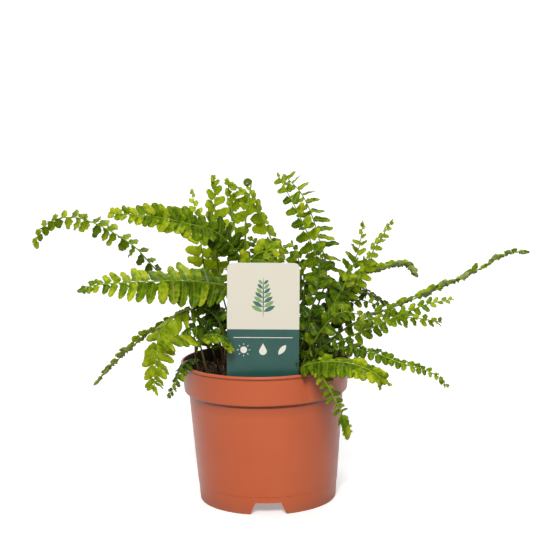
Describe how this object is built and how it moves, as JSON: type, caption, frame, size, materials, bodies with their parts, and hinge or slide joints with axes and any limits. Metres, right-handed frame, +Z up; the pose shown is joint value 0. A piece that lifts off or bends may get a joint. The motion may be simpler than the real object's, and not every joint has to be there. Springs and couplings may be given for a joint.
{
  "type": "potted boston fern",
  "caption": "Young Boston fern with arching feathery fronds in a round notched plastic nursery pot filled with soil, with a blank printed plant label on a pointed stake.",
  "frame": {"origin": "centre of the pot's foot, on the surface that the pot stands on", "axes": "+Z up; the printed side of the plant label faces -Y; +X to the right of someone who reads the label"},
  "size_m": [0.3383, 0.1879, 0.2321],
  "materials": {
    "pot": "satin",
    "soil": "matte",
    "label": "satin",
    "leaf_young": "satin",
    "leaf_bright": "satin",
    "leaf_mature": "satin",
    "leaf_dark": "satin"
  },
  "bodies": {
    "root": {"pot": "pot", "soil": "soil", "label": "label", "frond_left_comb": "leaf_bright", "frond_left_high": "leaf_mature", "frond_left_drooping": "leaf_young", "frond_left_front": "leaf_bright", "frond_left_inner": "leaf_bright", "frond_left_long": "leaf_mature", "frond_left_low": "leaf_dark", "frond_left_rim": "leaf_dark", "frond_fiddlehead": "leaf_bright", "frond_up_left": "leaf_young", "frond_up_middle": "leaf_young", "frond_up_outer": "leaf_bright", "frond_up_arching": "leaf_dark", "frond_over_label": "leaf_mature", "frond_behind_label": "leaf_bright", "frond_right_tall": "leaf_bright", "frond_right_feather": "leaf_mature", "frond_right_upright": "leaf_bright", "frond_right_leaning": "leaf_young", "frond_right_arch": "leaf_dark", "frond_right_long": "leaf_dark", "frond_right_short": "leaf_dark", "frond_right_bright": "leaf_bright", "frond_right_middle": "leaf_mature", "frond_right_low": "leaf_mature", "frond_front_bright": "leaf_young", "frond_front_hanging": "leaf_mature", "frond_fill_left_high": "leaf_dark", "frond_fill_left_low": "leaf_mature", "frond_fill_centre": "leaf_dark", "frond_fill_right_inner": "leaf_dark", "frond_fill_right_upright": "leaf_mature", "frond_fill_right_middle": "leaf_bright", "frond_fill_right_front": "leaf_mature", "frond_fill_right_low": "leaf_dark", "frond_fill_right_outer": "leaf_dark", "frond_back_centre": "leaf_mature", "frond_back_right": "leaf_bright", "frond_back_left": "leaf_bright", "frond_back_right_wide": "leaf_dark", "frond_back_left_wide": "leaf_dark", "frond_back_right_side": "leaf_mature", "frond_back_low": "leaf_young", "frond_back_low_left": "leaf_mature", "frond_back_low_right": "leaf_mature"}
  },
  "joints": []
}
